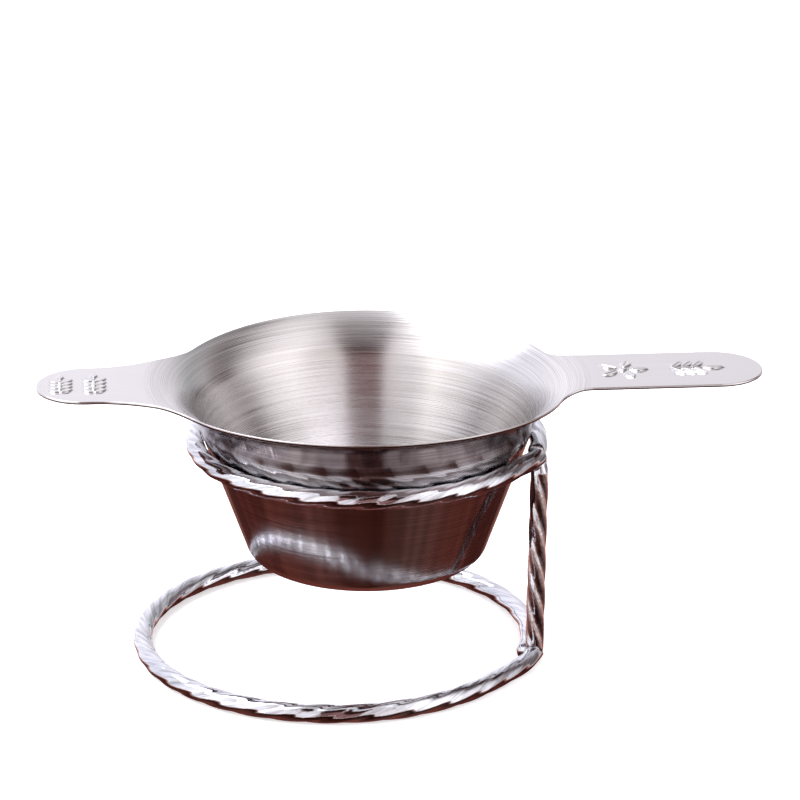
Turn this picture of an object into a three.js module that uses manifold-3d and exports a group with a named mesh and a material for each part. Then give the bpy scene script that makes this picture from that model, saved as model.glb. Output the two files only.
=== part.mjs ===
// A tea strainer on its stand. The strainer is one spun sheet with two flat ears and a double
// mesh held on its floor lip. The stand is square rod twisted about its own axis: a base ring, a
// post and a cradle ring that the strainer's cone hangs in. Millimetres, +Z up, ears along X,
// the table at z = 0 and the origin half way between the ear tips.

import * as THREE from "three";
import { mergeVertices } from "three/addons/utils/BufferGeometryUtils.js";
import Module from "manifold-3d";

const wasm = await Module();
wasm.setup();

// Bowl, from the ears' top plane down
const sheet = 0.6;
const rimRadius = 37.35;
const earHeight = 53.4;
const depth = 34.5;
const flareRadius = 10.5;
const flareSteps = 8;
const coneRadius = 29.9;
const coneRadiusDepth = 12;
const coneAngle = THREE.MathUtils.degToRad(19.7);
const cornerRadius = 3.2;
const lipInnerRadius = 17.6;

// Between the ears the rim is drawn up by rimLift, over these radii
const rimLift = 1.47;
const liftStart = 32.6;
const liftEnd = 38.4;

// Ears
const handle = { side: 1, reach: 74, halfWidth: 9.2, tipRadius: 9, rootRadius: 7 };
const restEar = { side: -1, reach: 61, halfWidth: 9.3, tipRadius: 9.2, rootRadius: 23 };

// Ornament raised on the ears, all made of leaves: a blossom, and sprigs that grow from (x, y)
// along a bearing in degrees
const reliefHeight = 0.3;
const reliefRoot = 0.1;
const blossom = { x: 47.8, y: 0, petals: 5, innerRadius: 1.1, length: 3.9, width: 2.2, budWidth: 1.7 };
const stemWidth = 0.7;
const leafLean = THREE.MathUtils.degToRad(55);
const firstLeaf = 0.1;
const leafSpread = 0.8;
const handleSprig = { x: 56.2, y: 0, bearing: 0, stem: 7.2, pairs: 3, length: 4.4, width: 1.9 };
const outerSprig = { x: -56.5, y: -5, bearing: 90, stem: 8.4, pairs: 4, length: 2.9, width: 1.5 };
const innerSprig = { x: -50.3, y: -5.6, bearing: 90, stem: 9.6, pairs: 4, length: 2.9, width: 1.5 };

// Mesh pack on the floor lip
const meshRadius = 19.6;
const backingThickness = 0.5;
const fineThickness = 0.25;
const clampThickness = 0.45;
const clampInnerRadius = 18;
const packGap = 0.05;

// Twisted rod: half its width across flats, half its width across corners
const rodHalfWidth = 1.6;
const rodReach = 1.79;
const twistPitch = 28;
const twistStep = 1.75;

// Stand, round the strainer's axis, with X towards the cradle from the base ring's centre
const standTurn = THREE.MathUtils.degToRad(-4.64);
const baseRingRadius = 36.6;
const baseRingOffset = 5.85;
const cradleRadius = 31.9;
const cradleHeight = 41.4;
const cradleStartShift = 0.4;
const cradleEndShift = 1.2;
const cradleEase = 9;
const postFoot = new THREE.Vector2(31.4, -8.8);
const postLean = 0.6;
const baseEase = 16;
const mitreEase = 5;

// Weld pads between rod ends
const weldThickness = 0.5;
const weldGap = 0.15;
const weldSpan = weldThickness + 2 * weldGap;
const weldRadius = 1.65;
const weldSides = 16;

const roundSteps = 72;

// How far a cutter or a blank reaches past what it cuts
const trim = 1;

const steel = (color, roughness) => new THREE.MeshStandardMaterial({ color, roughness, metalness: 1 });
const brushedSteel = () => steel(0xb9b4b0, 0.32);
const polishedSteel = () => steel(0xc9c8ce, 0.14);
const wovenSteel = () => steel(0x9c9a98, 0.4);
const weldSteel = () => steel(0x8f8d90, 0.35);

function named(name, geometry, material) {
  const mesh = new THREE.Mesh(geometry, material);
  mesh.name = name;
  return mesh;
}

function solidOf(geometry) {
  const bare = geometry.clone();
  bare.deleteAttribute("normal");
  bare.deleteAttribute("uv");
  const merged = mergeVertices(bare);
  const triVerts = new Uint32Array(merged.index.array);
  const vertProperties = merged.attributes.position.array;
  return new wasm.Manifold(new wasm.Mesh({ numProp: 3, vertProperties, triVerts }));
}

function geometryOf(solid) {
  const { vertProperties, triVerts } = solid.getMesh();
  const geometry = new THREE.BufferGeometry();
  geometry.setAttribute("position", new THREE.BufferAttribute(vertProperties, 3));
  geometry.setIndex(new THREE.BufferAttribute(triVerts, 1));
  geometry.computeVertexNormals();
  return geometry;
}

// Revolves a closed outline of (radius, height) points about the Z axis.
function turned(outline) {
  return new THREE.LatheGeometry([...outline, outline[0]], roundSteps).rotateX(Math.PI / 2);
}

function arcPoints(centre, radius, from, to, count) {
  return Array.from({ length: count + 1 }, (_, i) => {
    const angle = from + ((to - from) * i) / count;
    const spoke = new THREE.Vector2(Math.cos(angle), Math.sin(angle));
    return spoke.multiplyScalar(radius).add(centre);
  });
}

// The cone's outside radius at a height below the ears' plane.
const wallRadius = (height) => coneRadius + (height + coneRadiusDepth) * Math.tan(coneAngle);

// A fillet's centre, touching the cone from outside (side 1) or from inside (side -1).
function filletCentre(height, radius, side) {
  return new THREE.Vector2(wallRadius(height) + (side * radius) / Math.cos(coneAngle), height);
}

const flareCentre = filletCentre(-sheet - flareRadius, flareRadius, 1);
const cornerCentre = filletCentre(cornerRadius - depth, cornerRadius, -1);

// One face of the bowl's sheet, from the flare down the cone to the floor lip's edge. inset is 0
// on the outside and the sheet's thickness on the inside.
function bowlFace(inset) {
  return [
    ...arcPoints(flareCentre, flareRadius + inset, Math.PI / 2, Math.PI - coneAngle, flareSteps),
    ...arcPoints(cornerCentre, cornerRadius - inset, -coneAngle, -Math.PI / 2, 4),
    new THREE.Vector2(lipInnerRadius, inset - depth),
  ];
}

// The pressed sheet before its outline is cut: the bowl inside a flat round flange.
function pressing() {
  const flangeRadius = handle.reach + trim;
  return turned([
    new THREE.Vector2(flangeRadius, -sheet),
    new THREE.Vector2(flangeRadius, 0),
    ...bowlFace(sheet),
    ...bowlFace(0).reverse(),
  ]);
}

// The bearing on the rim where an ear's root fillet meets it.
function rootBearing({ halfWidth, rootRadius }) {
  return Math.asin((halfWidth + rootRadius) / (rimRadius + rootRadius));
}

// One ear's edge, anticlockwise from rim to rim: root fillet, rounded tip, root fillet.
function addEar(shape, ear) {
  const { side, reach, halfWidth, tipRadius, rootRadius } = ear;
  const bearing = rootBearing(ear);
  const turn = side > 0 ? 0 : Math.PI;
  const arc = (x, y, radius, from, to, clockwise) =>
    shape.absarc(side * x, side * y, radius, turn + from, turn + to, clockwise);
  const rootX = (rimRadius + rootRadius) * Math.cos(bearing);
  const rootY = halfWidth + rootRadius;
  const tipX = reach - tipRadius;
  const tipY = halfWidth - tipRadius;
  arc(rootX, -rootY, rootRadius, Math.PI - bearing, Math.PI / 2, true);
  arc(tipX, -tipY, tipRadius, -Math.PI / 2, 0, false);
  arc(tipX, tipY, tipRadius, 0, Math.PI / 2, false);
  arc(rootX, rootY, rootRadius, -Math.PI / 2, bearing - Math.PI, true);
}

// The cutter that leaves the rim and both ears of the pressing: their outline, deeper than the bowl.
function outlineCutter() {
  const shape = new THREE.Shape();
  addEar(shape, handle);
  const handleRoot = rootBearing(handle);
  const restEarRoot = rootBearing(restEar);
  shape.absarc(0, 0, rimRadius, handleRoot, Math.PI - restEarRoot, false);
  addEar(shape, restEar);
  shape.absarc(0, 0, rimRadius, Math.PI + restEarRoot, 2 * Math.PI - handleRoot, false);
  const options = { depth: depth + 2 * trim, bevelEnabled: false, curveSegments: 12 };
  return new THREE.ExtrudeGeometry(shape, options).translate(0, 0, -depth - trim);
}

// How far the sheet is drawn up at (x, y): most at the front and back of the rim.
function riseAt(x, y) {
  const start = restEar.halfWidth;
  const side = THREE.MathUtils.clamp((Math.abs(y) - start) / (rimRadius - start), 0, 1);
  const out = THREE.MathUtils.smoothstep(Math.hypot(x, y), liftStart, liftEnd);
  return rimLift * out * side * side * (2 - side);
}

function drawUpRim(geometry) {
  const points = geometry.getAttribute("position");
  for (let i = 0; i < points.count; i++) {
    points.setZ(i, points.getZ(i) + riseAt(points.getX(i), points.getY(i)));
  }
  geometry.computeVertexNormals();
  return geometry;
}

// A raised leaf whose stalk is at (x, y) and whose tip points along the bearing.
function leaf({ x, y, bearing, length, width }) {
  const sideSteps = 7;
  const edge = Array.from({ length: 2 * sideSteps }, (_, i) => {
    const turn = (Math.PI * i) / sideSteps;
    const along = (length * (1 - Math.cos(turn))) / 2;
    const across = (Math.sign(turn - Math.PI) * width * Math.sin((Math.PI * along) / length)) / 2;
    return new THREE.Vector2(along, across);
  });
  const height = reliefHeight + reliefRoot;
  return new THREE.ExtrudeGeometry(new THREE.Shape(edge), { depth: height, bevelEnabled: false })
    .rotateZ(bearing)
    .translate(x, y, -reliefRoot);
}

function blossomLeaves({ x, y, petals, innerRadius, length, width, budWidth }) {
  const bud = { x: x - budWidth / 2, y, bearing: 0, length: budWidth, width: budWidth };
  const petal = (_, i) => {
    const bearing = (2 * Math.PI * i) / petals;
    const stalk = new THREE.Vector2(innerRadius, 0).rotateAround(new THREE.Vector2(), bearing);
    return { x: x + stalk.x, y: y + stalk.y, bearing, length, width };
  };
  return [bud, ...Array.from({ length: petals }, petal)];
}

function sprigLeaves({ x, y, bearing, stem, pairs, length, width }) {
  const heading = THREE.MathUtils.degToRad(bearing);
  const leaves = [{ x, y, bearing: heading, length: stem, width: stemWidth }];
  for (let i = 0; i <= pairs; i++) {
    const reach = stem * (firstLeaf + (leafSpread * i) / pairs);
    const node = { x: x + reach * Math.cos(heading), y: y + reach * Math.sin(heading) };
    const leans = i < pairs ? [-leafLean, leafLean] : [0];
    leans.forEach((lean) => leaves.push({ ...node, bearing: heading + lean, length, width }));
  }
  return leaves;
}

function ornamentLeaves() {
  return [blossomLeaves(blossom), ...[handleSprig, outerSprig, innerSprig].map(sprigLeaves)].flat();
}

function disc(radius, bottom, thickness) {
  return new THREE.CylinderGeometry(radius, radius, thickness, roundSteps)
    .rotateX(Math.PI / 2)
    .translate(0, 0, bottom + thickness / 2);
}

function clampRing(bottom) {
  const top = bottom + clampThickness;
  return turned([
    new THREE.Vector2(clampInnerRadius, bottom),
    new THREE.Vector2(meshRadius, bottom),
    new THREE.Vector2(meshRadius, top),
    new THREE.Vector2(clampInnerRadius, top),
  ]);
}

// The strainer's own group has its origin on its axis in the ears' plane.
function makeStrainer() {
  const strainer = new THREE.Group();
  const backingBottom = sheet - depth + packGap;
  const fineBottom = backingBottom + backingThickness + packGap;
  const clampBottom = fineBottom + fineThickness + packGap;
  const trimmed = solidOf(pressing()).intersect(solidOf(outlineCutter()));
  const leaves = ornamentLeaves().map((each) => solidOf(leaf(each)));
  const bowl = leaves.reduce((sum, each) => sum.add(each), trimmed);
  strainer.add(
    named("strainer_bowl", drawUpRim(geometryOf(bowl)), brushedSteel()),
    named("backing_mesh", disc(meshRadius, backingBottom, backingThickness), wovenSteel()),
    named("fine_mesh", disc(meshRadius, fineBottom, fineThickness), wovenSteel()),
    named("mesh_clamp_ring", clampRing(clampBottom), brushedSteel()),
  );
  return strainer;
}

// The rod's section, a square with cut corners.
function rodSection() {
  const cornerTurn = Math.acos(rodHalfWidth / rodReach);
  return new THREE.Shape(
    Array.from({ length: 8 }, (_, i) => {
      const angle = (Math.floor(i / 2) * Math.PI) / 2 + (i % 2 ? cornerTurn : -cornerTurn);
      return new THREE.Vector2(rodReach * Math.cos(angle), rodReach * Math.sin(angle));
    }),
  );
}

// A rod with a left-handed twist. place(x, y, s) gives the position of a point at (x, y) across
// the section and s along the rod.
function twistedRod(length, place) {
  const steps = Math.ceil(length / twistStep);
  const rod = new THREE.ExtrudeGeometry(rodSection(), { depth: length, steps, bevelEnabled: false });
  const points = rod.getAttribute("position");
  for (let i = 0; i < points.count; i++) {
    const s = points.getZ(i);
    const across = new THREE.Vector2(points.getX(i), points.getY(i));
    across.rotateAround(new THREE.Vector2(), (-2 * Math.PI * s) / twistPitch);
    points.setXYZ(i, ...place(across.x, across.y, s));
  }
  rod.computeVertexNormals();
  return rod;
}

const easedEnd = (distance, reach) => 1 - THREE.MathUtils.smoothstep(distance, 0, reach);

// A rod bent anticlockwise into a ring from the start bearing. Its ends ease outwards over the
// length ease by startShift and endShift, and mitre 1 slopes its far end face back by 45 degrees.
function ringRod({ radius, height, start, end, ease, startShift, endShift, mitre }) {
  const length = radius * (end - start);
  return twistedRod(length, (x, y, s) => {
    const left = length - s;
    const along = s - mitre * y * easedEnd(left, mitreEase);
    const shift = startShift * easedEnd(s, ease) + endShift * easedEnd(left, ease);
    const bearing = start + along / radius;
    const spoke = radius + shift - x;
    return [spoke * Math.cos(bearing), spoke * Math.sin(bearing), height + y];
  });
}

// A round pad of weld metal facing along normal, stretched along its second side.
function weldPad(position, normal, stretch) {
  const pad = new THREE.CylinderGeometry(weldRadius, weldRadius, weldThickness, weldSides);
  pad.rotateX(Math.PI / 2).scale(1, stretch, 1);
  const side = new THREE.Vector3(0, 0, 1).cross(normal);
  if (side.lengthSq() === 0) side.set(1, 0, 0);
  side.normalize();
  const facing = new THREE.Matrix4().makeBasis(side, normal.clone().cross(side), normal);
  return pad.applyMatrix4(facing).translate(position.x, position.y, position.z);
}

// The stand's own group has its origin on the strainer's axis at the table.
function makeStand() {
  const stand = new THREE.Group();
  const up = new THREE.Vector3(0, 0, 1);

  // The post meets the base ring at this bearing and radius from the base ring's centre.
  const footSpoke = new THREE.Vector2(postFoot.x + baseRingOffset, postFoot.y);
  const footBearing = footSpoke.angle() - 2 * Math.PI;
  const footRadius = footSpoke.length();
  const footHeading = new THREE.Vector3(-Math.sin(footBearing), Math.cos(footBearing), 0);
  const foot = new THREE.Vector3(postFoot.x, postFoot.y, rodReach);

  const mitreGap = (weldSpan / 2) * Math.SQRT2;
  const backGap = rodReach + weldSpan;
  const baseRing = ringRod({
    radius: baseRingRadius,
    height: rodReach,
    start: footBearing + backGap / baseRingRadius,
    end: footBearing + 2 * Math.PI - mitreGap / baseRingRadius,
    ease: baseEase,
    startShift: 0,
    endShift: footRadius - baseRingRadius,
    mitre: 1,
  });
  baseRing.translate(-baseRingOffset, 0, 0);

  const postBottom = rodReach + mitreGap;
  const postTop = cradleHeight - rodReach - weldSpan;
  const post = twistedRod(postTop - postBottom, (x, y, s) => {
    const ahead = x * footHeading.x + y * footHeading.y;
    const height = postBottom + s - ahead * easedEnd(s, mitreEase);
    const lean = (postLean * s) / (postTop - postBottom);
    return [foot.x + lean + x, foot.y + y, height];
  });

  const seamBearing = Math.atan2(postFoot.y, postFoot.x + postLean);
  const seamHeading = new THREE.Vector3(-Math.sin(seamBearing), Math.cos(seamBearing), 0);
  const seamRadius = cradleRadius + (cradleStartShift + cradleEndShift) / 2;
  const cradleRing = ringRod({
    radius: cradleRadius,
    height: cradleHeight,
    start: seamBearing + weldSpan / 2 / cradleRadius,
    end: seamBearing + 2 * Math.PI - weldSpan / 2 / cradleRadius,
    ease: cradleEase,
    startShift: cradleStartShift,
    endShift: cradleEndShift,
    mitre: 0,
  });

  const mitreNormal = footHeading.clone().add(up).normalize();
  const ringEnd = new THREE.Vector3(baseRingRadius, 0, 0)
    .applyAxisAngle(up, footBearing)
    .addScaledVector(footHeading, rodReach + weldSpan / 2)
    .add(new THREE.Vector3(-baseRingOffset, 0, rodReach));
  const postEnd = new THREE.Vector3(postFoot.x + postLean, postFoot.y, postTop + weldSpan / 2);
  const seam = new THREE.Vector3(seamRadius, 0, cradleHeight).applyAxisAngle(up, seamBearing);

  stand.add(
    named("base_ring", baseRing, polishedSteel()),
    named("post", post, polishedSteel()),
    named("cradle_ring", cradleRing, polishedSteel()),
    named("post_foot_weld", weldPad(foot, mitreNormal, Math.SQRT2), weldSteel()),
    named("base_ring_end_weld", weldPad(ringEnd, footHeading, 1), weldSteel()),
    named("post_top_weld", weldPad(postEnd, up, 1), weldSteel()),
    named("cradle_seam_weld", weldPad(seam, seamHeading, 1), weldSteel()),
  );
  return stand;
}

const teaStrainer = new THREE.Group();
const axisX = (restEar.reach - handle.reach) / 2;
const strainer = makeStrainer();
strainer.position.set(axisX, 0, earHeight);
const stand = makeStand();
stand.position.x = axisX;
stand.rotation.z = standTurn;
teaStrainer.add(strainer, stand);

export default teaStrainer;
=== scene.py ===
import math

import bmesh
import bpy
import numpy as np
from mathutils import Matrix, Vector
from mathutils.geometry import delaunay_2d_cdt


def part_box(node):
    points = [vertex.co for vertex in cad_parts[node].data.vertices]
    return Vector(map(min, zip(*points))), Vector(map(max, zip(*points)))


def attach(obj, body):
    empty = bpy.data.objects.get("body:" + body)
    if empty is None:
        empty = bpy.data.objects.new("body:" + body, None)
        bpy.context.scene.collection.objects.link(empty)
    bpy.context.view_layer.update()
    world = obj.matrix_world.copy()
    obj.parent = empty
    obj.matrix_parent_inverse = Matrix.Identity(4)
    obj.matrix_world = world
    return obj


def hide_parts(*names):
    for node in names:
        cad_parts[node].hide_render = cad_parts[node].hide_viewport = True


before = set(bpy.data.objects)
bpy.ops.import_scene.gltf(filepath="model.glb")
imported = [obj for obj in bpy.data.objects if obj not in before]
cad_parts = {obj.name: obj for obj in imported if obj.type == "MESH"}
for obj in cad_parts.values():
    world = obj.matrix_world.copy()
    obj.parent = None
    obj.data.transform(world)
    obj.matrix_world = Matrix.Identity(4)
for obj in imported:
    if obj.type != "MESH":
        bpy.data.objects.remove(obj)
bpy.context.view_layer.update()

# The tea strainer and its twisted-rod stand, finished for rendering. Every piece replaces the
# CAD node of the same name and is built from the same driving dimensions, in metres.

MM = 0.001

# Bowl: heights are below the ears' top plane
SHEET = 0.6 * MM
RIM_RADIUS = 37.34 * MM
EAR_HEIGHT = 53.4 * MM
DEPTH = 34.5 * MM
FLARE_RADIUS = 10.5 * MM
CONE_RADIUS = 29.9 * MM
CONE_RADIUS_DEPTH = 12 * MM
CONE_ANGLE = math.radians(19.7)
CORNER_RADIUS = 3.2 * MM
LIP_INNER_RADIUS = 17.6 * MM
EDGE_RADIUS = 0.2 * MM
EDGE_BAND = 0.08 * MM
SPUN_RADIUS = 36.4 * MM
FLAT_START = 41.4 * MM
FLARE_RING_STEP = 0.5 * MM
AROUND = 288
FLARE_STEPS, WALL_STEPS, BOTTOM_CORNER_STEPS, LIP_STEPS, EDGE_STEPS = 18, 24, 10, 6, 4
CDT_TOLERANCE = 1e-6
WELD_DISTANCE = 0.0005 * MM

# Between the ears the rim is drawn up, over these radii
RIM_LIFT = 1.47 * MM
LIFT_START, LIFT_END = 32.6 * MM, 38.4 * MM

# Ears: (side, reach, half width, tip radius, root fillet radius)
HANDLE = (1, 74 * MM, 9.2 * MM, 9 * MM, 7 * MM)
REST_EAR = (-1, 61 * MM, 9.3 * MM, 9.2 * MM, 23 * MM)
OUTLINE_STEP = 0.6 * MM

# Ornament on the ears, all leaves. Sprigs: (x, y, bearing, stem, pairs, leaf length, leaf width)
RELIEF_HEIGHT = 0.3 * MM
RELIEF_EDGE = 0.2 * MM
RELIEF_STEP = 0.1 * MM
RELIEF_COARSE = 4
RELIEF_SLOPE = 0.05
RELIEF_REACH = 0.6 * MM
VEIN_DEPTH = 0.5
VEIN_WIDTH = 0.16 * MM
VEINED_WIDTH = 1.8 * MM
PRESSED = 0.8
BLOSSOM_X = 47.8 * MM
PETALS = 5
PETAL_START, PETAL_LENGTH, PETAL_WIDTH, BUD_WIDTH = 1.1 * MM, 3.9 * MM, 2.2 * MM, 1.7 * MM
STEM_WIDTH, LEAF_LEAN = 0.7 * MM, math.radians(55)
FIRST_LEAF, LEAF_SPREAD = 0.1, 0.8
SPRIGS = (
    (56.2 * MM, 0, 0, 7.2 * MM, 3, 4.4 * MM, 1.9 * MM),
    (-56.5 * MM, -5 * MM, math.pi / 2, 8.4 * MM, 4, 2.9 * MM, 1.5 * MM),
    (-50.3 * MM, -5.6 * MM, math.pi / 2, 9.6 * MM, 4, 2.9 * MM, 1.5 * MM),
)

# Twisted rod
ROD_HALF_WIDTH = 1.6 * MM
ROD_REACH = 1.79 * MM
ROD_WORN_REACH = 1.76 * MM
ROD_CORNER = (ROD_HALF_WIDTH * math.sqrt(2) - ROD_WORN_REACH) / (math.sqrt(2) - 1)
TWIST_PITCH = 28 * MM
ROD_STEP = 0.4 * MM
CORNER_STEPS = 5
FACE_STEPS = 4

# Attribute: each point's place in the bar before it was twisted and bent, shortened along the bar
BEFORE_TWIST = "before_twist"
DIE_LINE_STRETCH = 12

# Slow waves along the bar: length / 2 pi, then the strength and length / 2 pi of what bends them
ROD_WANDER_WAVE = (5.3 * MM, 1.3, 13.1 * MM)
ROD_UNEVEN_WAVE = (3.7 * MM, 2.1, 9.7 * MM)

# Stand, in its own axes round the strainer's axis
STAND_TURN = math.radians(-4.64)
BASE_RING_RADIUS = 36.6 * MM
BASE_RING_OFFSET = 5.85 * MM
CRADLE_RADIUS = 31.9 * MM
CRADLE_HEIGHT = 41.4 * MM
CRADLE_SHIFTS = (0.4 * MM, 1.2 * MM)
CRADLE_EASE = 9 * MM
POST_FOOT = Vector((31.4 * MM, -8.8 * MM, ROD_REACH))
POST_LEAN = 0.6 * MM
BASE_EASE = 16 * MM
MITRE_EASE = 5 * MM

ROD_WANDER = 0.05
ROD_UNEVEN = 0.012
END_ROUND = 0.9 * MM
END_SHRINK = 0.25
BACK_END_LAP = 0.9 * MM
BACK_END_SHIFT = -0.1 * MM
POST_TOP = 40.4 * MM
POST_ROUND = 2.4 * MM
SEAM_GAP = 0.25 * MM

# Weld beads. Radii: two across the bead, then one along its normal
BEAD_ROWS, BEAD_AROUND, BEAD_LUMPS = 17, 32, 0.08
FOOT_BEAD = (1.62 * MM, 2.25 * MM, 0.55 * MM)
RING_END_BEAD = (1.5 * MM, 1.2 * MM, 1.6 * MM)
RING_END_OFFSET = 2.2 * MM
POST_TOP_BEAD = (1.3 * MM, 1.3 * MM, 1.0 * MM)
POST_TOP_OFFSET = Vector((-0.2 * MM, -0.5 * MM, -0.1 * MM))
SEAM_BEAD = (1.5 * MM, 1.5 * MM, 0.6 * MM)

# Mesh pack on the floor lip. Weaves: (pitch, wire radius, middle height)
MESH_RADIUS = 19.6 * MM
CLAMP_INNER_RADIUS = 18 * MM
CLAMP_BOTTOM, CLAMP_TOP = -33 * MM, -32.55 * MM
FINE_WEAVE = (0.64 * MM, 0.062 * MM, EAR_HEIGHT - 33.175 * MM)
BACKING_WEAVE = (1.8 * MM, 0.125 * MM, EAR_HEIGHT - 33.6 * MM)
WAVE_STEPS = 4

# Steel. Painted shade: the underside is darkened and browned from UNDER_RIM_START outwards
LINE_TONES = (0.34, 0.62)
STEEL_DARK, STEEL_LIGHT = (0.42, 0.4, 0.39), (0.66, 0.65, 0.66)
UNDER_RIM_START, UNDER_RIM_END = CRADLE_RADIUS - 1.5 * MM, CRADLE_RADIUS + 0.5 * MM
UNDER_RIM_PAINTED_SHADE = (0.33, 0.25, 0.24)
SMOOTH_SIDE_ROUGHNESS = 0.12

# Camera: where it looks, and from how far
CAMERA_AIM = Vector((-0.25 * MM, 0, 48.7 * MM))
CAMERA_DISTANCE = 724.5 * MM
CAMERA_HEADING = math.radians(4.64)
CAMERA_ELEVATION = math.radians(20.0)
CAMERA_LENS = 175.57

# Room
ROOM_STRENGTH = 1.45
FLOOR_GLOW = 0.5
FLOOR_REACH = 4

# The room's light by the way's level, from 0 straight down to 1 straight up
ROOM_LEVELS = (
    (0.0, (0.1, 0.03, 0.023)),
    (0.09, (0.085, 0.026, 0.02)),
    (0.17, (0.05, 0.014, 0.011)),
    (0.25, (0.025, 0.008, 0.007)),
    (0.3, (0.18, 0.085, 0.07)),
    (0.345, (0.48, 0.3, 0.25)),
    (0.375, (0.93, 0.93, 0.96)),
    (0.72, (0.98, 0.97, 0.99)),
    (1.0, (0.72, 0.71, 0.73)),
)

# How the walls and the table tint that light, by bearing in degrees: 0 is towards the camera and
# 90 to its right. They start and end at these heights of a way's unit vector
WALLS_START, WALLS_END = (-0.3, -0.2), (0.85, 1)
WALLS = (
    (-180, (0.92, 0.9, 0.94)),
    (-165, (1.05, 1.03, 1.08)),
    (-125, (0.95, 0.95, 1.03)),
    (-105, (0.82, 0.82, 0.86)),
    (-85, (1.1, 1.09, 1.1)),
    (-62, (1.3, 1.28, 1.26)),
    (-50, (1.6, 1.56, 1.5)),
    (-38, (1.1, 1.07, 1.07)),
    (-20, (0.95, 0.9, 0.9)),
    (22, (0.85, 0.79, 0.77)),
    (40, (1.05, 1.0, 0.98)),
    (55, (1.5, 1.46, 1.44)),
    (75, (1.35, 1.3, 1.29)),
    (92, (0.85, 0.82, 0.81)),
    (110, (0.16, 0.13, 0.13)),
    (122, (0.2, 0.17, 0.17)),
    (135, (0.5, 0.48, 0.48)),
    (150, (0.4, 0.42, 0.42)),
    (165, (0.72, 0.7, 0.72)),
    (180, (0.9, 0.88, 0.92)),
)
TABLE_END = (-0.36, -0.3)
TABLE_GRAIN_TINT = (0.35, 0.3, 0.3)
TABLE = (
    (-180, (2.3, 2.1, 2.1)),
    (-130, (2.2, 2.0, 2.0)),
    (-100, (1.7, 1.55, 1.5)),
    (-60, (1.5, 1.7, 1.8)),
    (-30, (0.7, 0.6, 0.55)),
    (15, (0.6, 0.5, 0.45)),
    (40, (1.1, 1.5, 1.6)),
    (65, (1.3, 1.9, 2.1)),
    (95, (1.7, 1.6, 1.6)),
    (130, (2.2, 2.0, 2.0)),
    (180, (2.3, 2.1, 2.1)),
)

# A dark opening above the camera, deeper from DEEPER up, and a lamp
OPENING_SIDE = 0.03
OPENING_WIDTH, OPENING_FRONT, OPENING_TOP = (0.16, 0.27), (-0.1, 0.15), (0.86, 0.96)
OPENING_TINT = (0.28, 0.15, 0.14)
DEEPER, DEEPER_TINT = (0.35, 0.6), (0.12, 0.07, 0.065)
LAMP_BEARING, LAMP_ELEVATION = math.radians(-112), math.radians(60)
LAMP_EDGE = (0.9, 0.98)
LAMP_TINT = (6.5, 6.5, 6.6)

bowl_low, bowl_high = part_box("strainer_bowl")
AXIS_X = (bowl_low.x + bowl_high.x) / 2 - (HANDLE[1] - REST_EAR[1]) / 2


# ---------------------------------------------------------------- mesh building

def add_piece(name, body, material, points, faces):
    """A mesh piece that stands for the CAD node of its name."""
    mesh = bpy.data.meshes.new(name)
    mesh.from_pydata([tuple(p) for p in points], [], [tuple(f) for f in faces])
    mesh.validate()
    mesh.shade_smooth()
    piece = bpy.data.objects.new(name + "_piece", mesh)
    bpy.context.scene.collection.objects.link(piece)
    mesh.materials.append(material)
    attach(piece, body)
    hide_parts(name)
    return piece


def ring_faces(rings, count, first=0):
    """Quads between rings of count points each, ring after ring."""
    faces = []
    for r in range(rings - 1):
        a = first + r * count
        for i in range(count):
            j = (i + 1) % count
            faces.append((a + i, a + j, a + count + j, a + count + i))
    return faces


def arc(centre, radius, start, end, count):
    angles = np.linspace(start, end, count + 1)
    return [(centre[0] + radius * math.cos(a), centre[1] + radius * math.sin(a)) for a in angles]


def line(start, end, count):
    """Points between start and end, without either."""
    steps = np.linspace(0, 1, count + 1)[1:-1]
    return [tuple(np.array(start) + t * (np.array(end) - np.array(start))) for t in steps]


def smoothstep(low, high, x):
    t = np.clip((x - low) / (high - low), 0, 1)
    return t * t * (3 - 2 * t)


# ---------------------------------------------------------------- materials

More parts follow.
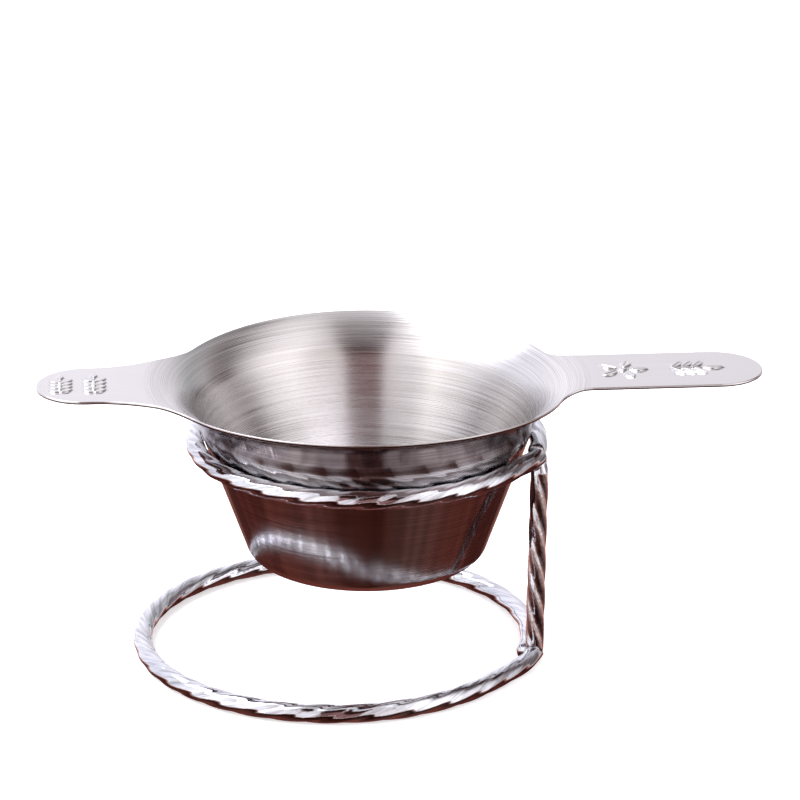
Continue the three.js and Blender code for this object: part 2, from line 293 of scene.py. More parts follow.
class Nodes:
    """A material's or world's node tree, with short calls for the nodes used here."""

    def __init__(self, owner):
        owner.use_nodes = True
        self.tree = owner.node_tree
        self.tree.nodes.clear()

    def add(self, kind, inputs=(), **settings):
        node = self.tree.nodes.new("ShaderNode" + kind)
        for key, value in settings.items():
            setattr(node, key, value)
        pairs = inputs.items() if isinstance(inputs, dict) else enumerate(inputs)
        for key, value in pairs:
            self.feed(node.inputs[key], value)
        return node

    def feed(self, socket, value):
        if isinstance(value, bpy.types.NodeSocket):
            self.tree.links.new(value, socket)
        elif value is not None:
            socket.default_value = value

    def math(self, operation, *values):
        return self.add("Math", values, operation=operation).outputs[0]

    def vector(self, operation, *values):
        node = self.add("VectorMath", values, operation=operation)
        return node.outputs["Value" if operation in ("LENGTH", "DOT_PRODUCT") else "Vector"]

    def mix(self, factor, a, b):
        node = self.add("Mix", data_type="VECTOR")
        for key, value in zip((0, 4, 5), (factor, a, b)):
            self.feed(node.inputs[key], value)
        return node.outputs[1]

    def blend(self, factor, a, b, kind="MIX"):
        """Colour a, mixed with or multiplied by colour b where factor is 1."""
        node = self.add("Mix", data_type="RGBA", blend_type=kind)
        for key, value in zip((0, 6, 7), (factor, a, (*b, 1) if isinstance(b, tuple) else b)):
            self.feed(node.inputs[key], value)
        return node.outputs[2]

    def ramp(self, factor, stops):
        node = self.add("ValToRGB", [factor])
        elements = node.color_ramp.elements
        while len(elements) < len(stops):
            elements.new(0.5)
        for element, (place, colour) in zip(elements, stops):
            element.position = place
            element.color = (*colour, 1)
        return node.outputs[0]

    def remap(self, value, low, high, to_low, to_high, smooth=True):
        kind = "SMOOTHSTEP" if smooth else "LINEAR"
        node = self.add("MapRange", [value, low, high, to_low, to_high], interpolation_type=kind)
        return node.outputs[0]

    def noise(self, vector, scale, detail=3.0, roughness=0.55):
        inputs = {"Vector": vector, "Scale": scale, "Detail": detail, "Roughness": roughness}
        return self.add("TexNoise", inputs).outputs[0]

    def bump(self, height, strength, distance, normal=None):
        inputs = {"Strength": strength, "Distance": distance, "Height": height, "Normal": normal}
        return self.add("Bump", inputs).outputs[0]


def finish_material(name, nodes_maker):
    material = bpy.data.materials.new(name)
    nodes = Nodes(material)
    inputs = nodes_maker(nodes)
    shader = nodes.add("BsdfPrincipled", inputs)
    nodes.add("OutputMaterial", [shader.outputs[0]])
    return material


def brushed_steel(nodes):
    """Spun steel: fine lines round the axis on the bowl, and along X on the ears."""
    coordinates = nodes.add("TexCoord").outputs
    place = nodes.vector("SUBTRACT", coordinates["Object"], (AXIS_X, 0, 0))
    x, y, z = nodes.add("SeparateXYZ", [place]).outputs
    flat = nodes.vector("MULTIPLY", place, (1, 1, 0))
    radius = nodes.vector("LENGTH", flat)
    spoke = nodes.vector("NORMALIZE", flat)
    round_axis = nodes.vector("CROSS_PRODUCT", (0, 0, 1), spoke)
    on_ear = nodes.remap(radius, FLAT_START - 0.5 * MM, FLAT_START + 0.5 * MM, 0, 1)
    across_bowl = nodes.math("MULTIPLY", nodes.math("ADD", radius, z), 1000)
    facing = nodes.add("SeparateXYZ", [coordinates["Normal"]]).outputs[2]
    underneath = nodes.remap(facing, -0.05, 0.05, 1, 0)

    def lines(fineness, length):
        turned = nodes.add("VectorMath", {0: spoke, "Scale": length}, operation="SCALE")
        side_x, side_y, _ = nodes.add("SeparateXYZ", [turned.outputs[0]]).outputs
        bowl_across = nodes.math("MULTIPLY", across_bowl, fineness)
        bowl = nodes.add("CombineXYZ", [bowl_across, side_x, side_y])
        ear_along = nodes.math("MULTIPLY", x, 30 * length)
        ear_across = nodes.math("MULTIPLY", y, 1000 * fineness)
        ear = nodes.add("CombineXYZ", [ear_across, ear_along, 0.0])
        return nodes.noise(nodes.mix(on_ear, bowl.outputs[0], ear.outputs[0]), 1.0, 3.0, 0.6)

    fine = lines(4.5, 0.9)
    broad = lines(0.9, 0.6)
    groove = nodes.mix(on_ear, round_axis, (1, 0, 0))
    weighed = nodes.math("MULTIPLY", fine, 0.85), nodes.math("MULTIPLY", broad, 0.15)
    tone = nodes.math("ADD", *weighed)
    pits = nodes.noise(coordinates["Object"], 5000.0, 2.0, 0.5)
    scratches = nodes.bump(fine, 0.3, 0.012 * MM)
    calm = nodes.mix(on_ear, tone, nodes.remap(tone, 0, 1, 0.45, 0.6, smooth=False))
    colour = nodes.ramp(calm, list(zip(LINE_TONES, (STEEL_DARK, STEEL_LIGHT))))
    inside = nodes.remap(tone, 0.3, 0.7, 0.2, 0.34)
    smooth_side = nodes.math("MAXIMUM", underneath, on_ear)
    # Painted shade: the underside's colour is darkened and browned from just inside the cradle
    # ring outwards, a little unevenly
    painted_under_rim_shade = nodes.remap(radius, UNDER_RIM_START, UNDER_RIM_END, 0, 1)
    painted_under_rim_shade = nodes.math("MULTIPLY", underneath, painted_under_rim_shade)
    painted_under_rim_shade = nodes.math("MULTIPLY", painted_under_rim_shade, nodes.remap(broad, 0.35, 0.65, 0.75, 1))
    return {
        "Base Color": nodes.blend(painted_under_rim_shade, colour, UNDER_RIM_PAINTED_SHADE, "MULTIPLY"),
        "Metallic": 1.0,
        "Roughness": nodes.remap(smooth_side, 0, 1, inside, SMOOTH_SIDE_ROUGHNESS),
        "Anisotropic": nodes.remap(smooth_side, 0, 1, 0.8, 0.3),
        "Anisotropic Rotation": 0.25,
        "Tangent": groove,
        "Normal": nodes.bump(pits, nodes.remap(underneath, 0, 1, 0.02, 0.3), 0.01 * MM, scratches),
    }


def polished_rod(nodes):
    """Bright drawn rod, its faces a little uneven from the twisting, with die lines along them."""
    place = nodes.add("TexCoord").outputs["Object"]
    dents = nodes.noise(place, 420.0, 2.0, 0.5)
    drawn = nodes.add("Attribute", attribute_name=BEFORE_TWIST).outputs["Vector"]
    lines = nodes.noise(drawn, 1300.0, 3.0, 0.6)
    bumps = nodes.bump(dents, 0.5, 0.1 * MM)
    return {
        "Base Color": nodes.ramp(lines, [(0.35, (0.38, 0.38, 0.41)), (0.56, (0.64, 0.65, 0.7))]),
        "Metallic": 1.0,
        "Roughness": nodes.remap(lines, 0.3, 0.7, 0.1, 0.06),
        "Normal": nodes.bump(lines, 0.5, 0.06 * MM, bumps),
    }


def woven_wire(nodes):
    place = nodes.add("TexCoord").outputs["Object"]
    wear = nodes.noise(place, 2500.0, 3.0)
    return {
        "Base Color": nodes.ramp(wear, [(0.3, (0.5, 0.49, 0.48)), (0.7, (0.68, 0.67, 0.66))]),
        "Metallic": 1.0,
        "Roughness": nodes.remap(wear, 0.3, 0.7, 0.24, 0.4),
    }


def weld_metal(nodes):
    """Weld metal ground over by hand: dull, pitted, with a faint straw tint."""
    place = nodes.add("TexCoord").outputs["Object"]
    pits = nodes.noise(place, 1500.0, 4.0, 0.6)
    tint = nodes.noise(place, 500.0, 2.0)
    return {
        "Base Color": nodes.ramp(tint, [(0.35, (0.5, 0.46, 0.43)), (0.65, (0.66, 0.65, 0.66))]),
        "Metallic": 1.0,
        "Roughness": nodes.remap(pits, 0.3, 0.7, 0.22, 0.45),
        "Normal": nodes.bump(pits, 0.35, 0.05 * MM),
    }


BRUSHED_STEEL = finish_material("brushed_steel", brushed_steel)
POLISHED_ROD = finish_material("polished_rod", polished_rod)
WOVEN_WIRE = finish_material("woven_wire", woven_wire)
WELD_METAL = finish_material("weld_metal", weld_metal)


# ---------------------------------------------------------------- strainer

def wall_radius(height):
    """The cone's outside radius at a height below the ears' plane."""
    return CONE_RADIUS + (height + CONE_RADIUS_DEPTH) * math.tan(CONE_ANGLE)


def fillet_centre(height, radius, side):
    return wall_radius(height) + side * radius / math.cos(CONE_ANGLE), height


FLARE_CENTRE = fillet_centre(-SHEET - FLARE_RADIUS, FLARE_RADIUS, 1)
CORNER_CENTRE = fillet_centre(CORNER_RADIUS - DEPTH, CORNER_RADIUS, -1)


def sheet_face(inset):
    """One face of the bowl's sheet, from the flare to the floor lip, as (radius, height)."""
    start = math.acos((SPUN_RADIUS - FLARE_CENTRE[0]) / (FLARE_RADIUS + inset))
    flare = arc(FLARE_CENTRE, FLARE_RADIUS + inset, start, math.pi - CONE_ANGLE, FLARE_STEPS)
    turn = -math.pi / 2
    corner = arc(CORNER_CENTRE, CORNER_RADIUS - inset, -CONE_ANGLE, turn, BOTTOM_CORNER_STEPS)
    return [*flare, *line(flare[-1], corner[0], WALL_STEPS), *corner]


def flange_height(radius, inset):
    """Height of one face of the flare and the flat ears, at distances from the axis."""
    short = np.maximum(FLARE_CENTRE[0] - radius, 0)
    return FLARE_CENTRE[1] + np.sqrt((FLARE_RADIUS + inset) ** 2 - short**2)


def rim_rise(x, y):
    """How far the sheet is drawn up at x, y: most at the front and back of the rim."""
    start = REST_EAR[2]
    side = np.clip((np.abs(y) - start) / (RIM_RADIUS - start), 0, 1)
    return RIM_LIFT * smoothstep(LIFT_START, LIFT_END, np.hypot(x, y)) * side**2 * (2 - side)


def rounded_edge(radius, top, bottom, side):
    """A sheet's cut edge at a radius, from its top face down. side points at the metal."""
    centre = radius + side * EDGE_RADIUS
    start = math.pi / 2
    turn = side * math.pi / 2
    middle, end = start + turn, start + 2 * turn
    upper = arc((centre, top - EDGE_RADIUS), EDGE_RADIUS, start, middle, EDGE_STEPS)
    lower = arc((centre, bottom + EDGE_RADIUS), EDGE_RADIUS, middle, end, EDGE_STEPS)
    return [*upper, *lower]


def revolve(profile):
    angles = np.linspace(0, 2 * math.pi, AROUND, endpoint=False)
    return [(r * math.cos(a), r * math.sin(a), z) for r, z in profile for a in angles]


def blossom():
    """A bud and its petals, each leaf as (x, y, bearing, length, width)."""
    made = [(BLOSSOM_X - BUD_WIDTH / 2, 0, 0, BUD_WIDTH, BUD_WIDTH)]
    for i in range(PETALS):
        turn = 2 * math.pi * i / PETALS
        x = BLOSSOM_X + PETAL_START * math.cos(turn)
        y = PETAL_START * math.sin(turn)
        made.append((x, y, turn, PETAL_LENGTH, PETAL_WIDTH))
    return made


def sprig(x, y, bearing, stem, pairs, length, width):
    """A stem from x, y along a bearing, with leaves in pairs and one at its end."""
    made = [(x, y, bearing, stem, STEM_WIDTH)]
    for i in range(pairs + 1):
        reach = stem * (FIRST_LEAF + LEAF_SPREAD * i / pairs)
        leaf_x = x + reach * math.cos(bearing)
        leaf_y = y + reach * math.sin(bearing)
        for lean in (-LEAF_LEAN, LEAF_LEAN) if i < pairs else (0,):
            made.append((leaf_x, leaf_y, bearing + lean, length, width))
    return made


def relief(x, y, motifs):
    """How far the ears stand raised at points x, y round the strainer's axis."""
    height = np.zeros_like(x)
    for leaf_x, leaf_y, bearing, length, width in sum(motifs, []):
        along = (x - leaf_x) * math.cos(bearing) + (y - leaf_y) * math.sin(bearing)
        across = (y - leaf_y) * math.cos(bearing) - (x - leaf_x) * math.sin(bearing)
        inside = (along > 0) & (along < length)
        half = np.where(inside, width / 2 * np.sin(math.pi * along / length), 0)
        rise = smoothstep(0, RELIEF_EDGE, half - np.abs(across))
        if width > VEINED_WIDTH:
            rise *= 1 - VEIN_DEPTH * np.exp(-((across / VEIN_WIDTH) ** 2))
        height = np.maximum(height, RELIEF_HEIGHT * rise)
    return height


def relief_points(motif):
    """Points over a motif for the ears' triangles: close along its edges, sparse elsewhere."""
    ends = []
    for x, y, bearing, length, _ in motif:
        ends += [(x, y), (x + length * math.cos(bearing), y + length * math.sin(bearing))]
    low = np.min(ends, axis=0) - RELIEF_REACH
    high = np.max(ends, axis=0) + RELIEF_REACH
    xs, ys = (np.arange(low[i], high[i], RELIEF_STEP) for i in (0, 1))
    x, y = np.meshgrid(xs, ys, indexing="ij")
    slope = np.hypot(*np.gradient(relief(x, y, [motif]), RELIEF_STEP))
    row, column = np.indices(x.shape)
    keep = (slope > RELIEF_SLOPE) | ((row % RELIEF_COARSE == 0) & (column % RELIEF_COARSE == 0))
    return list(zip(x[keep], y[keep]))


def plate_outline():
    """The rim and both ears from above, anticlockwise, as points and outward normals."""
    points = []

    def sweep(centre, radius, start, end):
        count = max(6, round(abs(end - start) * radius / OUTLINE_STEP))
        swept = arc(centre, radius, start, end, count)
        met = points and math.dist(points[-1], swept[0]) < EDGE_RADIUS
        points.extend(swept[1:] if met else swept)

    def bearing_of(ear):
        return math.asin((ear[2] + ear[4]) / (RIM_RADIUS + ear[4]))

    for ear, other in ((HANDLE, REST_EAR), (REST_EAR, HANDLE)):
        side, reach, half_width, tip, root = ear
        turn = 0 if side > 0 else math.pi
        bearing = bearing_of(ear)
        root_x, root_y = (RIM_RADIUS + root) * math.cos(bearing), half_width + root
        tip_x, tip_y = reach - tip, half_width - tip
        quarter = math.pi / 2
        sweep((side * root_x, -side * root_y), root, turn + math.pi - bearing, turn + quarter)
        sweep((side * tip_x, -side * tip_y), tip, turn - quarter, turn)
        sweep((side * tip_x, side * tip_y), tip, turn, turn + quarter)
        sweep((side * root_x, side * root_y), root, turn - quarter, turn - math.pi + bearing)
        sweep((0, 0), RIM_RADIUS, turn + bearing, turn + math.pi - bearing_of(other))
    points = np.array(points[:-1])
    along = np.roll(points, -1, axis=0) - np.roll(points, 1, axis=0)
    normals = np.stack([along[:, 1], -along[:, 0]], axis=1)
    return points, normals / np.linalg.norm(normals, axis=1, keepdims=True)


def plate_triangles(outline, details):
    """Triangles from the spun part's edge to an outline, as points and faces."""
    circle = [(x, y) for x, y, _ in revolve([(SPUN_RADIUS, 0)])]
    rings = np.arange(SPUN_RADIUS, FLAT_START, FLARE_RING_STEP)[1:]
    flare = [(x, y) for x, y, _ in revolve([(radius, 0) for radius in rings])]
    flat = [Vector(p) / MM for p in [*outline, *circle, *flare, *details]]
    loops = [(0, len(outline)), (len(outline), len(outline) + AROUND)]
    edges = []
    for start, end in loops:
        edges += [(i, i + 1 if i + 1 < end else start) for i in range(start, end)]
    points, _, faces, _, _, _ = delaunay_2d_cdt(flat, edges, [], 1, CDT_TOLERANCE)
    points = np.array([(p.x, p.y) for p in points]) * MM
    inner = np.linalg.norm(points, axis=1) < SPUN_RADIUS * 1.0001
    faces = [face for face in faces if not all(inner[i] for i in face)]
    used, faces = np.unique(faces, return_inverse=True)
    return points[used], faces.reshape(-1, 3)


def make_bowl():
    """The whole sheet: a spun bowl and the trimmed flange with its ears, as one closed surface."""
    lip = rounded_edge(LIP_INNER_RADIUS, SHEET - DEPTH, -DEPTH, 1)
    inside, outside = sheet_face(SHEET), sheet_face(0)
    floor_top = line(inside[-1], lip[0], LIP_STEPS)
    floor_bottom = line(lip[-1], outside[-1], LIP_STEPS)
    profile = [*inside, *floor_top, *lip, *floor_bottom, *reversed(outside)]
    points = revolve(profile)
    faces = ring_faces(len(profile), AROUND)

    outline, normals = plate_outline()
    edge = rounded_edge(0, 0, -SHEET, -1)
    flat_inset = edge[0][0] - EDGE_BAND
    first = len(points)
    rim = [(flat_inset, 0), *edge, (flat_inset, -SHEET)]
    for inset, height in rim:
        ring = outline + normals * inset
        above = height > -SHEET / 2
        face = flange_height(np.linalg.norm(ring, axis=1), SHEET if above else 0)
        heights = face + (height if above else height + SHEET)
        points += [(x, y, z) for (x, y), z in zip(ring, heights)]
    faces += ring_faces(len(rim), len(outline), first=first)

    motifs = [blossom(), *(sprig(*each) for each in SPRIGS)]
    details = sum([relief_points(motif) for motif in motifs], [])
    flat, triangles = plate_triangles(outline + normals * flat_inset, details)
    raised = relief(flat[:, 0], flat[:, 1], motifs)
    radius = np.linalg.norm(flat, axis=1)
    top = flange_height(radius, SHEET) + raised
    bottom = flange_height(radius, 0) + PRESSED * raised
    for heights in (top, bottom):
        first = len(points)
        points += [(x, y, z) for (x, y), z in zip(flat, heights)]
        faces += [tuple(first + i for i in face) for face in triangles]

    points = np.array(points)
    points[:, 2] += rim_rise(points[:, 0], points[:, 1])
    points += (AXIS_X, 0, EAR_HEIGHT)
    piece = add_piece("strainer_bowl", "strainer", BRUSHED_STEEL, points, faces)
    weld_seams(piece)


def weld_seams(piece):
    """Joins a closed surface's patches along their shared edges and turns its faces outward."""
    mesh = bmesh.new()
    mesh.from_mesh(piece.data)
    bmesh.ops.remove_doubles(mesh, verts=mesh.verts, dist=WELD_DISTANCE)
    bmesh.ops.recalc_face_normals(mesh, faces=mesh.faces)
    mesh.to_mesh(piece.data)
    mesh.free()
    piece.data.shade_smooth()


def rounded_block(inner, outer, bottom, top):
    """A turned ring's profile with rounded edges, anticlockwise."""
    corners = ((outer, top), (inner, top), (inner, bottom), (outer, bottom))
    insides = ((-1, -1), (1, -1), (1, 1), (-1, 1))
    profile = []
    for i, ((radius, height), (out, up)) in enumerate(zip(corners, insides)):
        centre = (radius + out * EDGE_RADIUS, height + up * EDGE_RADIUS)
        profile += arc(centre, EDGE_RADIUS, i * math.pi / 2, (i + 1) * math.pi / 2, EDGE_STEPS)
    return profile


def make_clamp_ring():
    profile = rounded_block(CLAMP_INNER_RADIUS, MESH_RADIUS, CLAMP_BOTTOM, CLAMP_TOP)
    profile.append(profile[0])
    points = np.array(revolve(profile)) + (AXIS_X, 0, EAR_HEIGHT)
    faces = ring_faces(len(profile), AROUND)
    piece = add_piece("mesh_clamp_ring", "strainer", BRUSHED_STEEL, points, faces)
    weld_seams(piece)


def make_weave(name, pitch, wire, height):
    """Plain-woven wire cloth cut to a disc: each wire a tube that waves over and under."""
    points, faces = [], []
    reach = MESH_RADIUS - wire
    last = int(reach / pitch)
    for swap in (False, True):
        for row in range(-last, last + 1):
            across = row * pitch
            end = math.sqrt(reach**2 - across**2)
            count = max(2, round(2 * end / pitch * WAVE_STEPS))
            along = np.linspace(-end, end, count + 1)
            over = 1 if (row % 2 == 0) != swap else -1
            wave = over * wire * np.cos(math.pi * along / pitch)
            first = len(points)
            for a, w in zip(along, wave):
                for side, rise in ((wire, 0), (0, wire), (-wire, 0), (0, -wire)):
                    spot = (across + side, a) if swap else (a, across + side)
                    points.append((AXIS_X + spot[0], spot[1], height + w + rise))
            faces += ring_faces(len(along), 4, first=first)
            faces += [(first, first + 1, first + 2, first + 3)]
            faces += [tuple(len(points) - 4 + i for i in (3, 2, 1, 0))]
    add_piece(name, "strainer", WOVEN_WIRE, points, faces)


make_bowl()
make_clamp_ring()
make_weave("fine_mesh", *FINE_WEAVE)
make_weave("backing_mesh", *BACKING_WEAVE)


# ---------------------------------------------------------------- stand

UP = Vector((0, 0, 1))
FOOT_SPOKE = Vector((POST_FOOT.x + BASE_RING_OFFSET, POST_FOOT.y))
FOOT_RADIUS = FOOT_SPOKE.length
FOOT_BEARING = math.atan2(FOOT_SPOKE.y, FOOT_SPOKE.x)
FOOT_HEADING = Vector((-math.sin(FOOT_BEARING), math.cos(FOOT_BEARING), 0))
SEAM_BEARING = math.atan2(POST_FOOT.y, POST_FOOT.x + POST_LEAN)
SEAM_HEADING = Vector((-math.sin(SEAM_BEARING), math.cos(SEAM_BEARING), 0))


def in_stand(points):
    """Turns points from the stand's own axes into the shared frame."""
    x, y, z = np.array(points).T
    cos, sin = math.cos(STAND_TURN), math.sin(STAND_TURN)
    return np.stack([AXIS_X + x * cos - y * sin, x * sin + y * cos, z], axis=1)


def rod_section():
    """A square bar's rounded outline, anticlockwise from the middle of its right face."""
    corner = ROD_HALF_WIDTH - ROD_CORNER
    points = []
    for i in range(4):
        turn = i * math.pi / 2
        cos, sin = round(math.cos(turn)), round(math.sin(turn))
        across = np.linspace(-corner, corner, FACE_STEPS, endpoint=False)
        face = [(ROD_HALF_WIDTH, y) for y in across]
        bend = arc((corner, corner), ROD_CORNER, 0, math.pi / 2, CORNER_STEPS)[:-1]
        points += [(x * cos - y * sin, x * sin + y * cos) for x, y in [*face, *bend]]
    return np.array(points)


def slow_wave(s, wave, bend, bend_wave):
    return math.sin(s / wave + bend * math.sin(s / bend_wave))


def twisted_rod(name, length, place, start_round=END_ROUND, end_round=END_ROUND):
    """A twisted square bar. place puts section points x, y at distances s along it."""
    section = rod_section()
    stations = np.linspace(0, length, round(length / ROD_STEP) + 1)
    points, straight = [], []
    for s in stations:
        angle = ROD_WANDER * slow_wave(s, *ROD_WANDER_WAVE) - 2 * math.pi * s / TWIST_PITCH
        shrink = 1.0
        for reach, distance in ((start_round, s), (end_round, length - s)):
            if distance < reach:
                shrink -= END_SHRINK * (1 - smoothstep(0, reach, distance))
        shrink *= 1 - ROD_UNEVEN * (1 + slow_wave(s, *ROD_UNEVEN_WAVE))
        cos, sin = shrink * math.cos(angle), shrink * math.sin(angle)
        x = section[:, 0] * cos - section[:, 1] * sin
        y = section[:, 0] * sin + section[:, 1] * cos
        points += list(place(x, y, s))
        straight += [(x, y, s / DIE_LINE_STRETCH) for x, y in section]
    count = len(section)
    faces = ring_faces(len(stations), count)
    faces += [tuple(reversed(range(count))), tuple(range(len(points) - count, len(points)))]
    piece = add_piece(name, "stand", POLISHED_ROD, in_stand(points), faces)
    before_twist = piece.data.attributes.new(BEFORE_TWIST, "FLOAT_VECTOR", "POINT")
    before_twist.data.foreach_set("vector", np.array(straight).ravel())


def ring_place(centre_x, radius, height, start, length, ease, shifts, mitre=0):
    """How a rod lies when bent anticlockwise into a ring, its ends eased outwards by shifts."""
    def place(x, y, s):
        left = length - s
        along = s - mitre * y * (1 - smoothstep(0, MITRE_EASE, left))
        shift = shifts[0] * (1 - smoothstep(0, ease, s))
        shift += shifts[1] * (1 - smoothstep(0, ease, left))
        bearing = start + along / radius
        spoke = radius + shift - x
        ahead = centre_x + spoke * np.cos(bearing)
        return np.stack([ahead, spoke * np.sin(bearing), height + y], axis=1)
    return place


def make_rods():
    start = FOOT_BEARING - BACK_END_LAP / BASE_RING_RADIUS
    length = BASE_RING_RADIUS * 2 * math.pi + BACK_END_LAP
    shifts = (BACK_END_SHIFT, FOOT_RADIUS - BASE_RING_RADIUS)
    centre_x, radius = -BASE_RING_OFFSET, BASE_RING_RADIUS
    place = ring_place(centre_x, radius, ROD_REACH, start, length, BASE_EASE, shifts, mitre=1)
    twisted_rod("base_ring", length, place, end_round=0)

    def post_place(x, y, s):
        ahead = x * FOOT_HEADING.x + y * FOOT_HEADING.y
        height = POST_FOOT.z + s - ahead * (1 - smoothstep(0, MITRE_EASE, s))
        lean = POST_LEAN * s / (CRADLE_HEIGHT - POST_FOOT.z)
        return np.stack([POST_FOOT.x + lean + x, POST_FOOT.y + y, height], axis=1)
    twisted_rod("post", POST_TOP - POST_FOOT.z, post_place, start_round=0, end_round=POST_ROUND)

    gap = SEAM_GAP / CRADLE_RADIUS
    length = CRADLE_RADIUS * (2 * math.pi - gap)
    start = SEAM_BEARING + gap / 2
    radius, height = CRADLE_RADIUS, CRADLE_HEIGHT
    place = ring_place(0, radius, height, start, length, CRADLE_EASE, CRADLE_SHIFTS)
    twisted_rod("cradle_ring", length, place)


def make_bead(name, centre, normal, radii):
    """A lump of weld metal: an uneven ball of three radii, the last along its normal."""
    side = UP.cross(normal)
    side = side.normalized() if side.length > 0.01 else Vector((1, 0, 0))
    other = normal.cross(side)
    points = []
    for r in range(BEAD_ROWS):
        fall = math.pi * (r + 0.5) / BEAD_ROWS
        for i in range(BEAD_AROUND):
            turn = 2 * math.pi * i / BEAD_AROUND
            a, b = math.sin(fall) * math.cos(turn), math.sin(fall) * math.sin(turn)
            c = math.cos(fall)
            lump = math.sin(3 * a + 5 * b + 2) * math.cos(4 * c - 3 * a + 1)
            swell = 1 + BEAD_LUMPS * lump
            reach = radii[0] * a * side + radii[1] * b * other + radii[2] * c * normal
            points.append(centre + swell * reach)
    faces = ring_faces(BEAD_ROWS, BEAD_AROUND)
    last = range(len(points) - BEAD_AROUND, len(points))
    faces += [tuple(range(BEAD_AROUND)), tuple(reversed(last))]
    add_piece(name, "stand", WELD_METAL, in_stand(points), faces)


def make_welds():
    mitre_normal = (FOOT_HEADING + UP).normalized()
    make_bead("post_foot_weld", POST_FOOT, mitre_normal, FOOT_BEAD)

    radius = (BASE_RING_RADIUS + BACK_END_SHIFT + FOOT_RADIUS) / 2
    lap_x, lap_y = radius * math.cos(FOOT_BEARING), radius * math.sin(FOOT_BEARING)
    lap = Vector((lap_x - BASE_RING_OFFSET, lap_y, ROD_REACH)) + FOOT_HEADING * RING_END_OFFSET
    make_bead("base_ring_end_weld", lap, FOOT_HEADING, RING_END_BEAD)

    top = Vector((POST_FOOT.x, POST_FOOT.y, CRADLE_HEIGHT - ROD_REACH)) + POST_TOP_OFFSET
    make_bead("post_top_weld", top, UP, POST_TOP_BEAD)

    seam_radius = CRADLE_RADIUS + sum(CRADLE_SHIFTS) / 2
    seam_x, seam_y = seam_radius * math.cos(SEAM_BEARING), seam_radius * math.sin(SEAM_BEARING)
    seam = Vector((seam_x, seam_y, CRADLE_HEIGHT))
    make_bead("cradle_seam_weld", seam, SEAM_HEADING, SEAM_BEAD)


make_rods()
make_welds()


# ---------------------------------------------------------------- room

def make_floor():
    material = bpy.data.materials.new("floor")
    nodes = Nodes(material)
    inputs = {"Base Color": (0.93, 0.93, 0.93, 1), "Roughness": 0.9}
    inputs |= {"Emission Color": (1, 1, 1, 1), "Emission Strength": FLOOR_GLOW}
    shader = nodes.add("BsdfPrincipled", inputs)
    nodes.add("OutputMaterial", [shader.outputs[0]])
    half = FLOOR_REACH
    mesh = bpy.data.meshes.new("floor")
    corners = [(-half, -half, 0), (half, -half, 0), (half, half, 0), (-half, half, 0)]
    mesh.from_pydata(corners, [], [(0, 1, 2, 3)])
    mesh.materials.append(material)
    floor = bpy.data.objects.new("floor", mesh)
    bpy.context.scene.collection.objects.link(floor)
    floor.visible_glossy = False


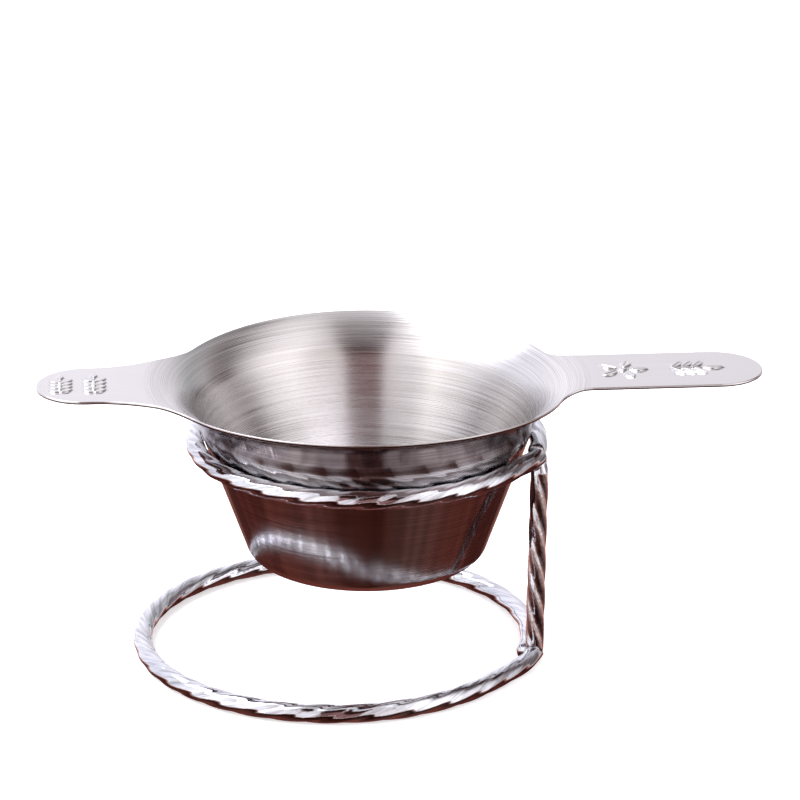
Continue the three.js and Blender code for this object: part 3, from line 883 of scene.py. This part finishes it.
def make_world():
    """A pale room seen only in the steel: walls, a dark table, an opening and a lamp."""
    world = bpy.data.worlds.new("studio")
    bpy.context.scene.world = world
    nodes = Nodes(world)
    way = nodes.add("TexCoord").outputs["Generated"]
    height = nodes.add("SeparateXYZ", [way]).outputs[2]
    near = (-math.sin(CAMERA_HEADING), -math.cos(CAMERA_HEADING), 0)
    right = (math.cos(CAMERA_HEADING), -math.sin(CAMERA_HEADING), 0)
    front = nodes.vector("DOT_PRODUCT", way, near)
    side = nodes.vector("DOT_PRODUCT", way, right)
    azimuth = nodes.math("ARCTAN2", side, front)

    level = nodes.remap(height, -1, 1, 0, 1, smooth=False)
    room = nodes.ramp(level, ROOM_LEVELS)

    turn = nodes.remap(azimuth, -math.pi, math.pi, 0, 1, smooth=False)

    def tinted(colour, factor, tint):
        return nodes.blend(factor, colour, tint, "MULTIPLY")

    def by_bearing(tints):
        return nodes.ramp(turn, [((degrees + 180) / 360, tint) for degrees, tint in tints])

    above = nodes.remap(height, *WALLS_START, 0, 1)
    below = nodes.remap(height, *TABLE_END, 1, 0)
    streaks = nodes.add("CombineXYZ", [nodes.math("MULTIPLY", azimuth, 9), height]).outputs[0]
    grain = nodes.remap(nodes.noise(streaks, 1.0), 0.35, 0.65, 0, 0.8)
    room = tinted(room, nodes.math("MULTIPLY", below, grain), TABLE_GRAIN_TINT)
    room = tinted(room, below, by_bearing(TABLE))
    on_wall = nodes.math("MULTIPLY", above, nodes.remap(height, *WALLS_END, 1, 0))
    room = tinted(room, on_wall, by_bearing(WALLS))

    off = nodes.math("ABSOLUTE", nodes.math("SUBTRACT", side, OPENING_SIDE))
    across = nodes.remap(off, *OPENING_WIDTH, 1, 0)
    dark = nodes.math("MULTIPLY", across, nodes.remap(front, *OPENING_FRONT, 0, 1))
    upright = nodes.math("MULTIPLY", above, nodes.remap(height, *OPENING_TOP, 1, 0))
    dark = nodes.math("MULTIPLY", dark, upright)
    room = tinted(room, dark, OPENING_TINT)
    deep = nodes.math("MULTIPLY", dark, nodes.remap(height, *DEEPER, 0, 1))
    room = tinted(room, deep, DEEPER_TINT)

    lamp_level = math.cos(LAMP_ELEVATION)
    lamp = Vector(near) * math.cos(LAMP_BEARING) + Vector(right) * math.sin(LAMP_BEARING)
    lamp = lamp * lamp_level + Vector((0, 0, math.sin(LAMP_ELEVATION)))
    on_lamp = nodes.remap(nodes.vector("DOT_PRODUCT", way, lamp), *LAMP_EDGE, 0, 1)
    room = tinted(room, on_lamp, LAMP_TINT)
    seen = nodes.add("LightPath").outputs["Is Camera Ray"]
    backdrop = nodes.blend(seen, room, (1.0, 1.0, 1.0))
    background = nodes.add("Background", [backdrop, ROOM_STRENGTH])
    nodes.add("OutputWorld", [background.outputs[0]])


def make_camera():
    data = bpy.data.cameras.new("camera")
    data.lens = CAMERA_LENS
    camera = bpy.data.objects.new("camera", data)
    level = math.cos(CAMERA_ELEVATION)
    ahead = Vector((
        math.sin(CAMERA_HEADING) * level,
        math.cos(CAMERA_HEADING) * level,
        -math.sin(CAMERA_ELEVATION),
    ))
    camera.location = CAMERA_AIM - ahead * CAMERA_DISTANCE
    camera.rotation_euler = ahead.to_track_quat("-Z", "Y").to_euler()
    bpy.context.scene.collection.objects.link(camera)
    bpy.context.scene.camera = camera


make_floor()
make_world()
make_camera()
bpy.context.scene.view_settings.view_transform = "Standard"
